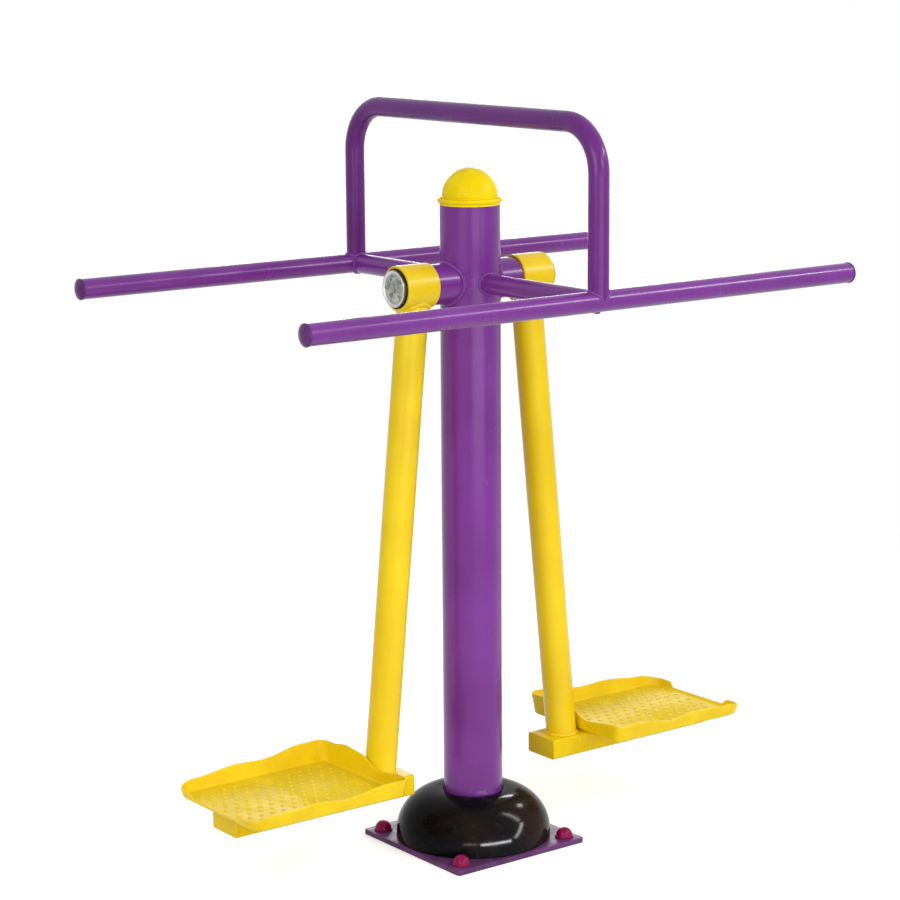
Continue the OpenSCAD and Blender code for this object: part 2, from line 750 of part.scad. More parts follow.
base_plate();
rib_right_back();
rib_left_back();
rib_left_front();
rib_right_front();
post();
base_cover();
bolt_caps();
post_cap();
front_handrail();
back_handrail();
handrail_plugs();
front_cross_tube();
back_cross_tube();
hoop();
hub_tube();
shaft();
right_hub_disc();
left_hub_disc();
right_collar();
left_collar();
right_spacer();
left_spacer();
right_inner_bearing();
left_inner_bearing();
right_outer_bearing();
left_outer_bearing();
right_clamp_washer();
left_clamp_washer();
right_shaft_screw();
left_shaft_screw();
right_sleeve();
left_sleeve();
right_shaft_seal();
left_shaft_seal();
right_cap_gasket();
left_cap_gasket();
right_end_cap();
left_end_cap();
right_arm();
left_arm();
right_pedal_bar();
left_pedal_bar();
right_bar_caps();
left_bar_caps();
right_tread_pan();
left_tread_pan();
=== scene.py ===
from math import asin, atan2, cos, degrees, pi, radians, sin, sqrt, tan

import bmesh
import bpy
from mathutils import Matrix, Vector


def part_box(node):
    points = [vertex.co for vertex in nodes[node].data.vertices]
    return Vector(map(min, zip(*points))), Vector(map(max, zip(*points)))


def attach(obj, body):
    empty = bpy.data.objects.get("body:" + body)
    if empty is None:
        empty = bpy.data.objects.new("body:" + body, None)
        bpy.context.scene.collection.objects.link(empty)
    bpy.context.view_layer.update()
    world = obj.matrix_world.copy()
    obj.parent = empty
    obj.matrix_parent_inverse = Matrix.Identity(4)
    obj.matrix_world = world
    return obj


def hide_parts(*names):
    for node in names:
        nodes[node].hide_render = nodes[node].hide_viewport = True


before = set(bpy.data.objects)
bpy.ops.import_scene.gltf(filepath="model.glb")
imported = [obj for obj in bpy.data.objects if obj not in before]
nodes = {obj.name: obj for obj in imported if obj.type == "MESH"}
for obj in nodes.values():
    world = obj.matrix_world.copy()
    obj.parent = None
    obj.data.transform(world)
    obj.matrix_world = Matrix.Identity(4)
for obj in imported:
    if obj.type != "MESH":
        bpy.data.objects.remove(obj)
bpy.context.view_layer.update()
scene = bpy.context.scene
print("frame loaded:", len(nodes), "nodes")


def middle(node):
    low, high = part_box(node)
    return (low + high) / 2


def extent(node):
    low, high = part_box(node)
    return high - low


def addObject(name, data):
    thing = bpy.data.objects.new(name, data)
    scene.collection.objects.link(thing)
    return thing


# Main sizes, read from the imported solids
axisZ = middle("shaft").z
postRadius = extent("post").x / 2
railRadius = extent("front_handrail").z / 2
railY = middle("back_handrail").y
hubRadius = extent("hub_tube").z / 2
sleeveRadius = extent("right_sleeve").z / 2
armRadius = extent("right_arm").y / 2
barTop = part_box("right_pedal_bar")[1].z
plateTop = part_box("base_plate")[1].z


# Camera, at the photograph's viewpoint

viewpoint = {
    "place": (-2.97487, -3.86036, 1.72732),
    "heading": 37.145,  # degrees from +Y towards +X
    "dip": 11.077,  # degrees below the horizon
    "roll": -0.419,
    "lens": 104.59,  # on a 36 mm sensor
}


def addCamera(v):
    heading, dip, roll = (radians(v[k]) for k in ("heading", "dip", "roll"))
    look = Vector((sin(heading) * cos(dip), cos(heading) * cos(dip), -sin(dip)))
    level = Vector((cos(heading), -sin(heading), 0))
    upright = level.cross(look)
    right = level * cos(roll) + upright * sin(roll)
    up = upright * cos(roll) - level * sin(roll)
    data = bpy.data.cameras.new("photoCamera")
    data.lens = v["lens"]
    data.sensor_width = 36
    data.clip_start, data.clip_end = 0.1, 100
    camera = addObject("photoCamera", data)
    turn = Matrix((right, up, -look)).transposed()
    camera.matrix_world = Matrix.Translation(v["place"]) @ turn.to_4x4()
    scene.camera = camera


addCamera(viewpoint)
scene.view_settings.view_transform = "Standard"


# Node helper: values that are sockets are linked, other values are set; it gives back the node's outputs

def addNode(tree, kind, wires=None, **settings):
    node = tree.nodes.new(kind)
    for key, value in settings.items():
        setattr(node, key, value)
    for key, value in (wires or {}).items():
        socket = node.inputs[key]
        if isinstance(value, bpy.types.NodeSocket):
            tree.links.new(value, socket)
        else:
            socket.default_value = value
    return node.outputs


def noise(tree, place, scale, detail=3.0, roughness=0.5):
    return addNode(tree, "ShaderNodeTexNoise", {
        "Vector": place, "Scale": scale, "Detail": detail, "Roughness": roughness})["Fac"]


def remap(tree, value, low, high, toLow, toHigh, smooth=True):
    return addNode(tree, "ShaderNodeMapRange", {
        "Value": value, "From Min": low, "From Max": high, "To Min": toLow, "To Max": toHigh},
        interpolation_type="SMOOTHSTEP" if smooth else "LINEAR")["Result"]


def mixColours(tree, factor, *colours):
    first, second = (c if isinstance(c, bpy.types.NodeSocket) else (*c, 1) for c in colours)
    return addNode(tree, "ShaderNodeMix", {"Factor": factor, 6: first, 7: second}, data_type="RGBA")[2]


def math2(tree, operation, first, second=0.0):
    return addNode(tree, "ShaderNodeMath", {0: first, 1: second}, operation=operation)[0]


def times(tree, first, second):
    return math2(tree, "MULTIPLY", first, second)


def plus(tree, first, second):
    return math2(tree, "ADD", first, second)


# A colour that drifts between the finish's two tones
def twoTones(tree, place, c, scale, detail, roughness=0.5):
    cloud = remap(tree, noise(tree, place, scale, detail, roughness), 0.35, 0.65, 0, 1)
    return mixColours(tree, cloud, c["deep"], c["light"])


# Cloudy gloss, rougher by the given amount where the mark is
def cloudyGloss(tree, place, c, scale, detail, mark, rougher):
    gloss = remap(tree, noise(tree, place, scale, detail), 0.3, 0.7, *c["gloss"], smooth=False)
    return plus(tree, gloss, times(tree, mark, rougher))


def startMaterial(name):
    material = bpy.data.materials.new(name)
    material.use_nodes = True
    tree = material.node_tree
    tree.nodes.clear()
    return material, tree, addNode(tree, "ShaderNodeTexCoord")["Object"]


# The height pattern becomes a bump of the given distance; a finish without a specular value is a metal
def endMaterial(material, tree, c, colour, gloss, height, distance):
    bump = addNode(tree, "ShaderNodeBump", {
        "Height": height, "Strength": c["relief"], "Distance": distance})
    fixed = {"Specular IOR Level": c["specular"]} if "specular" in c else {"Metallic": 1.0}
    shader = addNode(tree, "ShaderNodeBsdfPrincipled", {
        "Base Color": colour, "Roughness": gloss, "Normal": bump[0], **fixed})
    addNode(tree, "ShaderNodeOutputMaterial", {"Surface": shader[0]})
    return material


coatGrain = {  # noise scales and dust that all powder coats share
    "speck": 420,
    "rub": (160, 160, 9),  # drawn out along the height
    "dust": 35,
    "dustTop": 0.16,  # height where the dust ends
    "dustColour": (0.42, 0.39, 0.34),
    "peel": 330,
    "waves": 45,
}


# Powder coat: two close tones, orange peel, cloudy gloss, fine rubs and a little dust near the ground
def powderCoat(name, c):
    material, tree, place = startMaterial(name)
    colour = twoTones(tree, place, c, c["cloudScale"], 4)
    speck = remap(tree, noise(tree, place, coatGrain["speck"], 2), 0.66, 0.74, 0, c["speck"])
    colour = mixColours(tree, speck, colour, c["chalk"])
    stretched = addNode(tree, "ShaderNodeMapping", {"Vector": place, "Scale": coatGrain["rub"]})[0]
    rub = remap(tree, noise(tree, stretched, 1.0, 3), 0.62, 0.75, 0, c["rub"])
    colour = mixColours(tree, rub, colour, c["chalk"])
    height = addNode(tree, "ShaderNodeSeparateXYZ", {0: place})["Z"]
    low = remap(tree, height, 0.0, coatGrain["dustTop"], c["dust"], 0)
    dust = times(tree, low, noise(tree, place, coatGrain["dust"], 4))
    colour = mixColours(tree, dust, colour, coatGrain["dustColour"])
    gloss = cloudyGloss(tree, place, c, c["cloudScale"] * 3, 3, rub, 0.5)
    peel = noise(tree, place, coatGrain["peel"], 2, 0.4)
    relief = plus(tree, peel, times(tree, noise(tree, place, coatGrain["waves"], 1), 1.4))
    return endMaterial(material, tree, c, colour, gloss, relief, 0.0004)


purpleCoat = {
    "deep": (0.140, 0.018, 0.200), "light": (0.174, 0.026, 0.250), "chalk": (0.34, 0.20, 0.42),
    "cloudScale": 5.0, "speck": 0.10, "rub": 0.08, "dust": 0.12, "gloss": (0.20, 0.28), "relief": 0.10,
    "specular": 0.32,
}
yellowCoat = {
    "deep": (0.745, 0.503, 0.003), "light": (0.805, 0.572, 0.005), "chalk": (0.92, 0.80, 0.34),
    "cloudScale": 6.0, "speck": 0.08, "rub": 0.08, "dust": 0.08, "gloss": (0.26, 0.36), "relief": 0.10,
    "specular": 0.28,
}
purplePaint = powderCoat("purplePowderCoat", purpleCoat)
# The hoop: a darker copy of the purple coat, which is painted shade
shadedHoopPaint = powderCoat("shadedHoopPowderCoat", {
    **purpleCoat, "deep": (0.108, 0.012, 0.152), "light": (0.134, 0.017, 0.192),
    "chalk": (0.30, 0.17, 0.37), "specular": 0.24,
})
yellowPaint = powderCoat("yellowPowderCoat", yellowCoat)
barPaint = powderCoat("barPowderCoat", {
    **yellowCoat, "deep": (0.705, 0.472, 0.002), "light": (0.765, 0.536, 0.003), "gloss": (0.30, 0.40),
    "specular": 0.10,
})
# The base plate: a darker copy of the purple coat; its darkness is painted shade and a painted reflection
# of the black cover
shadedPlatePaint = powderCoat("shadedPlatePowderCoat", {
    "deep": (0.062, 0.008, 0.080), "light": (0.108, 0.016, 0.132), "chalk": (0.24, 0.15, 0.25),
    "cloudScale": 16.0, "speck": 0.22, "rub": 0.12, "dust": 0.12, "gloss": (0.32, 0.46), "relief": 0.16,
    "specular": 0.12,
})


# Yellow of the treads: the same coat, worn and rougher where shoes rub the floor between the lips
def treadCoat(name, c):
    material, tree, place = startMaterial(name)
    colour = twoTones(tree, place, c, 14, 5, 0.6)
    tread = addNode(tree, "ShaderNodeAttribute", attribute_name="tread")["Fac"]
    grit = noise(tree, place, 260, 4, 0.65)
    patch = remap(tree, noise(tree, place, 30, 5, 0.6), 0.38, 0.66, 0.35, 1)
    worn = times(tree, tread, patch)
    colour = mixColours(tree, times(tree, worn, c["fade"]), colour, c["faded"])
    stains = remap(tree, noise(tree, place, 55, 5, 0.7), 0.52, 0.72, 0, c["smudges"])
    colour = mixColours(tree, times(tree, tread, stains), colour, c["smudge"])
    rim = addNode(tree, "ShaderNodeAttribute", attribute_name="rim")["Fac"]
    scuffs = remap(tree, noise(tree, place, 60, 4, 0.7), 0.5, 0.72, 0, c["rub"])
    colour = mixColours(tree, times(tree, rim, scuffs), colour, c["chalk"])
    gloss = cloudyGloss(tree, place, c, 24, 3, tread, c["treadRougher"])
    peel = noise(tree, place, coatGrain["peel"], 2, 0.4)
    relief = plus(tree, peel, times(tree, times(tree, tread, grit), c["grit"]))
    return endMaterial(material, tree, c, colour, gloss, relief, 0.0005)


treadPaint = treadCoat("treadYellowCoat", {
    "deep": (0.76, 0.510, 0.003), "light": (0.82, 0.585, 0.005), "chalk": (0.92, 0.80, 0.34),
    "faded": (0.71, 0.515, 0.010), "fade": 0.8, "smudge": (0.56, 0.39, 0.010), "smudges": 0.4,
    "rub": 0.22, "gloss": (0.28, 0.40), "treadRougher": 0.2, "grit": 2.2, "relief": 0.25, "specular": 0.16,
})


# Moulded plastic: even colour, faint flow marks, small scratches in the gloss
def mouldedPlastic(name, c):
    material, tree, place = startMaterial(name)
    colour = twoTones(tree, place, c, c["cloudScale"], 3)
    dirt = remap(tree, noise(tree, place, 90, 5, 0.65), 0.58, 0.76, 0, c["dust"])
    colour = mixColours(tree, dirt, colour, c["chalk"])
    gloss = cloudyGloss(tree, place, c, 40, 4, dirt, 0.4)
    flow = times(tree, noise(tree, place, 18, 1), c["waves"])
    relief = plus(tree, noise(tree, place, 240, 2), flow)
    return endMaterial(material, tree, c, colour, gloss, relief, 0.0004)


blackGloss = mouldedPlastic("blackGloss", {
    "deep": (0.0012, 0.0013, 0.0018), "light": (0.0040, 0.0020, 0.0016), "chalk": (0.020, 0.020, 0.022),
    "cloudScale": 9.0, "dust": 0.2, "gloss": (0.10, 0.16), "relief": 0.08, "waves": 12.0, "specular": 0.045,
})
crimsonPlastic = mouldedPlastic("crimsonPlastic", {
    "deep": (0.185, 0.002, 0.044), "light": (0.240, 0.003, 0.062), "chalk": (0.38, 0.09, 0.16),
    "cloudScale": 60.0, "dust": 0.10, "gloss": (0.24, 0.34), "relief": 0.2, "waves": 3.0, "specular": 0.15,
})
yellowPlastic = mouldedPlastic("yellowPlastic", {
    "deep": (0.82, 0.590, 0.002), "light": (0.89, 0.685, 0.003), "chalk": (0.90, 0.76, 0.26),
    "cloudScale": 22.0, "dust": 0.06, "gloss": (0.26, 0.36), "relief": 0.15, "waves": 6.0, "specular": 0.08,
})
plumPlastic = mouldedPlastic("plumPlastic", {
    "deep": (0.074, 0.013, 0.104), "light": (0.108, 0.020, 0.146), "chalk": (0.22, 0.14, 0.25),
    "cloudScale": 50.0, "dust": 0.10, "gloss": (0.26, 0.36), "relief": 0.2, "waves": 4.0, "specular": 0.25,
})
blackRubber = mouldedPlastic("blackRubber", {
    "deep": (0.012, 0.012, 0.013), "light": (0.020, 0.020, 0.021), "chalk": (0.10, 0.10, 0.10),
    "cloudScale": 60.0, "dust": 0.3, "gloss": (0.55, 0.75), "relief": 0.3, "waves": 2.0, "specular": 0.3,
})


# Bare or plated metal, turned round the swing's axis: rings, stains and fine scratches; a plated cap can
# also get a painted highlight on its rim and a painted dark reflection on its side wall
def turnedMetal(name, c):
    material, tree, place = startMaterial(name)
    centred = addNode(tree, "ShaderNodeMapping", {"Vector": place, "Location": (0, 0, -axisZ)})[0]
    flat = addNode(tree, "ShaderNodeVectorMath", {0: centred, 1: (0, 1, 1)}, operation="MULTIPLY")[0]
    radius = addNode(tree, "ShaderNodeVectorMath", {0: flat}, operation="LENGTH")["Value"]
    wobble = times(tree, noise(tree, place, 60, 3), 0.0012)
    rings = math2(tree, "SINE", times(tree, plus(tree, radius, wobble), c["rings"]))
    stain = remap(tree, noise(tree, place, c["stainScale"], 5, 0.65), 0.42, 0.62, 0, c["stain"])
    colour = mixColours(tree, stain, c["bright"], c["dull"])
    # Painted highlight: a brighter colour on the rim; painted reflection: a dark colour on the side wall;
    # both are set by radius
    if "rim" in c:
        colour = mixColours(tree, remap(tree, radius, *c["rimFrom"], 0, 1), colour, c["rim"])
        colour = mixColours(tree, remap(tree, radius, *c["paintedReflectionFrom"], 0, 1), colour, c["side"])
    gloss = cloudyGloss(tree, place, c, 150, 4, stain, 0.35)
    relief = plus(tree, rings, times(tree, noise(tree, place, 700, 3), 0.6))
    return endMaterial(material, tree, c, colour, gloss, relief, 0.0002)


platedCap = turnedMetal("platedCap", {
    "bright": (0.44, 0.45, 0.42), "dull": (0.15, 0.18, 0.12), "stain": 0.9, "stainScale": 85.0,
    "rings": 5200.0, "gloss": (0.16, 0.28), "relief": 0.15,
    # rim is a painted highlight, side a painted dark reflection on the side wall
    "rim": (0.58, 0.58, 0.55), "rimFrom": (0.0270, 0.0290), "side": (0.09, 0.08, 0.05),
    "paintedReflectionFrom": (0.0330, 0.0348),
})
groundSteel = turnedMetal("groundSteel", {
    "bright": (0.56, 0.56, 0.55), "dull": (0.30, 0.28, 0.26), "stain": 0.5, "stainScale": 70.0,
    "rings": 9000.0, "gloss": (0.26, 0.40), "relief": 0.3,
})
bearingSteel = turnedMetal("bearingSteel", {
    "bright": (0.66, 0.67, 0.68), "dull": (0.40, 0.40, 0.40), "stain": 0.3, "stainScale": 90.0,
    "rings": 7000.0, "gloss": (0.14, 0.24), "relief": 0.2,
})
print("materials made")


# Mesh helpers

def smoothShade(piece, angle):
    piece.data.shade_smooth()
    piece.data.set_sharp_from_angle(angle=radians(angle))
    return piece


def newPiece(name, bm):
    bmesh.ops.recalc_face_normals(bm, faces=bm.faces)
    mesh = bpy.data.meshes.new(name)
    bm.to_mesh(mesh)
    bm.free()
    return addObject(name, mesh)


def dress(piece, body, material, slotName, *replaced):
    piece.data.materials.clear()
    piece.data.materials.append(material)
    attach(piece, body)
    if replaced:
        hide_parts(*replaced)
    return piece


# Points of the unit circle
def circle(count):
    return [(cos(t), sin(t)) for t in (2 * pi * k / count for k in range(count))]


# A wall of faces between two closed loops of the same count
def bridge(bm, low, high):
    for k in range(len(low)):
        n = (k + 1) % len(low)
        bm.faces.new((low[k], low[n], high[n], high[k]))


# A flat face inside the first loop, with the other loops as its holes
def fillFlat(bm, loops):
    pairs = ((loop[k - 1], loop[k]) for loop in loops for k in (*range(1, len(loop)), 0))
    bmesh.ops.triangle_fill(bm, edges=[bm.edges.get(pair) for pair in pairs], use_beauty=True)


# Takes a helper piece's mesh into bm and deletes the piece
def absorb(bm, piece):
    bm.from_mesh(piece.data)
    bpy.data.objects.remove(piece)


# Turns +Z outward along X at shaft height, at a place x from the middle
def facingOut(side, x, y=0.0):
    return Matrix.Translation((side * x, y, axisZ)) @ Matrix.Rotation(side * pi / 2, 4, "Y")


# A line of corners (a, b, fillet radius) becomes points, each corner between the ends an arc
def filleted(corners, steps=6):
    points = []
    for i, (a, b, radius) in enumerate(corners):
        if i in (0, len(corners) - 1):
            points.append((a, b))
            continue
        here = Vector((a, b))
        before = (Vector(corners[i - 1][:2]) - here).normalized()
        after = (Vector(corners[i + 1][:2]) - here).normalized()
        half = before.angle(after) / 2
        centre = here + (before + after).normalized() * (radius / sin(half))
        start = here + before * (radius / tan(half)) - centre
        sweep = start.angle_signed(here + after * (radius / tan(half)) - centre)
        for k in range(steps + 1):
            spot = centre + Matrix.Rotation(-sweep * k / steps, 2) @ start
            points.append((spot.x, spot.y))
    return points


# Turns a profile of (radius, height) points about the local Z axis; points on the axis become poles
def turned(name, profile, segments, closed=True, place=Matrix()):
    bm = bmesh.new()
    rings = []
    for radius, height in profile:
        if radius < 1e-6:
            rings.append([bm.verts.new(place @ Vector((0, 0, height)))])
            continue
        rings.append([bm.verts.new(place @ Vector((radius * c, radius * s, height)))
                      for c, s in circle(segments)])
    pairs = list(zip(rings, rings[1:])) + ([(rings[-1], rings[0])] if closed else [])
    for low, high in pairs:
        if len(low) == 1 and len(high) == 1:
            continue
        if len(low) == len(high):
            bridge(bm, low, high)
            continue
        for k in range(segments):
            n = (k + 1) % segments
            bm.faces.new((low[0], high[n], high[k]) if len(low) == 1 else (low[k], low[n], high[0]))
    return smoothShade(newPiece(name, bm), 40)


def arc(centreA, centreB, radius, startDegrees, endDegrees, steps):
    sweep = endDegrees - startDegrees
    angles = (radians(startDegrees + sweep * k / steps) for k in range(steps + 1))
    return [(centreA + radius * cos(t), centreB + radius * sin(t)) for t in angles]


# Outline of a rectangle with rounded corners, drawn inset from its full size, always with the same count
def roundedOutline(halfA, halfB, radius, inset=0.0, steps=10):
    points = []
    corner = max(radius - inset, 0.0002)
    for quarter, (a, b) in enumerate(((1, 1), (-1, 1), (-1, -1), (1, -1))):
        centre = ((halfA - inset - corner) * a, (halfB - inset - corner) * b)
        points += arc(*centre, corner, 90 * quarter, 90 * quarter + 90, steps)
    return points


# A flat slab between z0 and z1 whose outline has rolled edges; outline(inset) gives its loop
def rolledSlab(name, outline, z0, z1, edge, place, holes=(), steps=4):
    bm = bmesh.new()
    quarter = [pi / 2 * k / steps for k in range(steps + 1)]
    levels = [(edge - edge * sin(t), z0 + edge - edge * cos(t)) for t in quarter]
    levels += [(edge - edge * cos(t), z1 - edge + edge * sin(t)) for t in quarter]
    loops = [[bm.verts.new(place @ Vector((a, b, z))) for a, b in outline(inset)] for inset, z in levels]
    for low, high in zip(loops, loops[1:]):
        bridge(bm, low, high)
    bottom, top = [loops[0]], [loops[-1]]
    for a, b, radius in holes:
        bore = [[bm.verts.new(place @ Vector((a + r * c, b + r * s, z))) for c, s in circle(48)]
                for r, z in ((radius + edge / 2, z0), (radius, z0 + edge / 2),
                             (radius, z1 - edge / 2), (radius + edge / 2, z1))]
        for low, high in zip(bore, bore[1:]):
            bridge(bm, low, high)
        bottom.append(bore[0])
        top.append(bore[-1])
    fillFlat(bm, bottom)
    fillFlat(bm, top)
    return smoothShade(newPiece(name, bm), 30)


# Base plate: rolled edges and chamfered fixing holes

basePlate = {
    "cornerRadius": 0.008,
    "edge": 0.0014,
    "boltPitch": 0.252,
    "holeRadius": 0.009,
}


def makeBasePlate(p):
    half = extent("base_plate").x / 2
    reach = p["boltPitch"] / 2
    holes = [(a * reach, b * reach, p["holeRadius"]) for a in (-1, 1) for b in (-1, 1)]
    plate = rolledSlab("basePlate", lambda inset: roundedOutline(half, half, p["cornerRadius"], inset),
                       0, plateTop, p["edge"], Matrix(), holes)
    # The plate takes the darker coat, painted shade
    dress(plate, "frame", shadedPlatePaint, "purple_paint", "base_plate")


makeBasePlate(basePlate)


# Base cover: one turned shell with a rolled foot and a rolled neck

baseCover = {
    "wall": 0.003,
    "band": 0.010,
    "flat": 0.0075,
    "neckGap": 0.0015,
    "footEdge": 0.0012,
    "footLand": 0.001,  # how far the foot reaches past the wall's inside
}


def makeBaseCover(p):
    outer = extent("base_cover").x / 2
    neck = postRadius + p["neckGap"]
    shoulder = outer - neck - p["flat"]
    centreR, centreZ = outer - shoulder, plateTop + p["band"]
    t = p["wall"]
    outside = [(outer, plateTop + p["footEdge"]), *arc(centreR, centreZ, shoulder, 0, 90, 40)]
    inside = arc(centreR, centreZ, shoulder - t, 90, 0, 32)
    neckTop = centreZ + shoulder
    lip = arc(neck + t / 2, neckTop - t / 2, t / 2, 90, 270, 8)
    foot = [(outer - t + p["footLand"], plateTop), (outer - p["footEdge"], plateTop)]
    profile = outside + lip + inside + foot
    cover = turned("baseCover", profile, 160)
    return dress(cover, "frame", blackGloss, "black_cover", "base_cover")


domeCover = makeBaseCover(baseCover)


# Post cap: spigot, band, rolled lip and dome

postCap = {
    "band": 0.004,
    "lip": 0.009,
    "domeRadius": 0.0525,
    "step": 0.003,  # height of the sloping step between lip and dome
    "stepFoot": 0.004,  # how far its foot and its edge stand out from the dome
    "stepEdge": 0.003,
    "spigot": 0.024,
    "spigotRadius": 0.05275,
    "wall": 0.003,
}


def makePostCap(p):
    lipRadius = extent("post_cap").x / 2
    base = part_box("post")[1].z
    lipTop = base + p["band"] + p["lip"]
    domeZ = lipTop + p["step"]
    dome, roll = p["domeRadius"], p["lip"] / 2
    profile = [(postRadius, base), (postRadius, base + p["band"])]
    profile += arc(lipRadius - roll, base + p["band"] + roll, roll, -80, 80, 10)
    profile += filleted([
        (lipRadius - roll, lipTop, 0), (dome + p["stepFoot"], lipTop, 0.001),
        (dome + p["stepEdge"], lipTop + 0.002, 0.001), (dome - 0.0003, domeZ, 0)])
    profile += arc(0, domeZ, dome, 1, 90, 40)
    profile += arc(0, domeZ, dome - p["wall"], 90, 12, 20)
    spigot, foot = p["spigotRadius"], base - p["spigot"]
    inner = spigot - p["wall"]
    profile += [(inner, domeZ), (inner, foot), (spigot - 0.001, foot), (spigot, foot + 0.001),
                (spigot, base)]
    cap = turned("postCap", profile, 128)
    dress(cap, "frame", yellowPlastic, "yellow_cap", "post_cap")


makePostCap(postCap)


# Handrail plugs: a rounded head on a flange, with its spigot in the tube

railPlug = {
    "flange": 0.0022,
    "spigot": 0.025,
    "spigotRadius": 0.01625,
    "edge": 0.0006,
}


def makeRailPlugs(p):
    headRadius = extent("handrail_plugs").z / 2
    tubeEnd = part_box("front_handrail")[1].x
    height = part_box("handrail_plugs")[1].x - tubeEnd
    rise = height - p["flange"]
    ball = (headRadius ** 2 + rise ** 2) / (2 * rise)
    lean = degrees(asin(headRadius / ball))
    spigot, edge = p["spigotRadius"], p["edge"]
    foot = -p["spigot"]
    profile = [(0, foot), (spigot - 0.001, foot), (spigot, foot + 0.001), (spigot, 0),
               (headRadius - edge, 0), (headRadius, edge), (headRadius, p["flange"]),
               (headRadius - edge / 2, p["flange"] + edge)]
    profile += arc(0, height - ball, ball, 90 - lean, 90, 14)[1:-1] + [(0, height)]
    bm = bmesh.new()
    for y in (-railY, railY):
        for side in (-1, 1):
            absorb(bm, turned("plug", profile, 64, False, facingOut(side, tubeEnd, y)))
    plugs = smoothShade(newPiece("handrailPlugs", bm), 50)
    dress(plugs, "frame", plumPlastic, "purple_plugs", "handrail_plugs")


makeRailPlugs(railPlug)
print("base and caps made")


# Geometry node trees

def startTree(name, inputs):
    tree = bpy.data.node_groups.new(name, "GeometryNodeTree")
    tree.interface.new_socket("Geometry", in_out="INPUT", socket_type="NodeSocketGeometry")
    for label, kind in inputs.items():
        tree.interface.new_socket(label, in_out="INPUT", socket_type="NodeSocket" + kind)
    tree.interface.new_socket("Geometry", in_out="OUTPUT", socket_type="NodeSocketGeometry")
    return tree, tree.nodes.new("NodeGroupInput").outputs


def endTree(tree, geometry, finish):
    whole = addNode(tree, "GeometryNodeRealizeInstances", {"Geometry": geometry})[0]
    painted = addNode(tree, "GeometryNodeSetMaterial", {"Geometry": whole, "Material": finish})[0]
    addNode(tree, "NodeGroupOutput", {"Geometry": painted})


def combine(tree, **axes):
    return addNode(tree, "ShaderNodeCombineXYZ", axes)[0]


def shifted(tree, geometry, offset):
    return addNode(tree, "GeometryNodeSetPosition", {"Geometry": geometry, "Offset": offset})[0]


# Ends a tree with an object's shape set on each point
def scatter(tree, points, source, turn, finish):
    shape = addNode(tree, "GeometryNodeObjectInfo", {"Object": source})["Geometry"]
    copies = addNode(tree, "GeometryNodeInstanceOnPoints", {
        "Points": points, "Instance": shape, "Rotation": turn})
    endTree(tree, copies[0], finish)
    return tree


# Runs a tree on a starting object and gives back the plain mesh as a new piece
def grow(name, start, tree, values):
    modifier = start.modifiers.new("grow", "NODES")
    modifier.node_group = tree
    for item in tree.interface.items_tree:
        if item.in_out == "INPUT" and item.name in values:
            modifier[item.identifier] = values[item.name]
    bpy.context.view_layer.update()
    graph = bpy.context.evaluated_depsgraph_get()
    mesh = bpy.data.meshes.new_from_object(start.evaluated_get(graph), preserve_all_data_layers=True,
                                           depsgraph=graph)
    start.modifiers.remove(modifier)
    bpy.data.objects.remove(start)
    mesh.name = name
    return addObject(name, mesh)


def emptyMesh(name):
    return addObject(name, bpy.data.meshes.new(name))


# Four caps over the fixings, each turned a little differently
def capTree():
    tree, given = startTree("boltCapLayout", {
        "Cap": "Object", "Pitch": "Float", "Height": "Float", "Seed": "Int", "Finish": "Material"})
    grid = addNode(tree, "GeometryNodeMeshGrid", {
        "Size X": given["Pitch"], "Size Y": given["Pitch"], "Vertices X": 2, "Vertices Y": 2})["Mesh"]
    grid = shifted(tree, grid, combine(tree, Z=given["Height"]))
    spin = addNode(tree, "FunctionNodeRandomValue", {2: 0.0, 3: 6.28, "Seed": given["Seed"]})[1]
    return scatter(tree, grid, given["Cap"], combine(tree, Z=spin), given["Finish"])


boltCap = {
    "footRadius": 0.018,
    "foot": 0.004,
    "domeRadius": 0.016,
    "height": 0.019,
    "wall": 0.0025,
    "footRing": 0.004,  # width of the ring that sits on the plate
    "ledge": 0.006,  # height of the hollow's ledge
    "seed": 3,
}


def makeBoltCaps(p):
    dome = p["height"] - p["foot"]
    ball = (p["domeRadius"] ** 2 + dome ** 2) / (2 * dome)
    centre = p["height"] - ball
    low = degrees(atan2(p["foot"] - centre, p["domeRadius"]))
    foot, ledge = p["footRadius"], p["ledge"]
    bore = foot - p["footRing"]
    profile = filleted([(bore, 0, 0), (foot, 0, 0.0006), (foot, p["foot"], 0.0012),
                        (p["domeRadius"] + 0.0004, p["foot"], 0)])
    profile += arc(0, centre, ball, low + 2, 90, 20)
    profile += arc(0, centre, ball - p["wall"], 90, 25, 10)
    profile += [(bore - 0.0018, ledge + 0.0002), (bore, ledge)]
    cap = turned("boltCapShape", profile, 48)
    caps = grow("boltCaps", emptyMesh("boltCapStart"), capTree(), {
        "Cap": cap, "Pitch": basePlate["boltPitch"], "Height": plateTop, "Seed": p["seed"],
        "Finish": crimsonPlastic})
    bpy.data.objects.remove(cap)
    smoothShade(caps, 40)
    dress(caps, "frame", crimsonPlastic, "crimson_caps", "bolt_caps")


makeBoltCaps(boltCap)
print("bolt caps made")


# Weld beads: a rippled round bead swept along each seam, under the paint

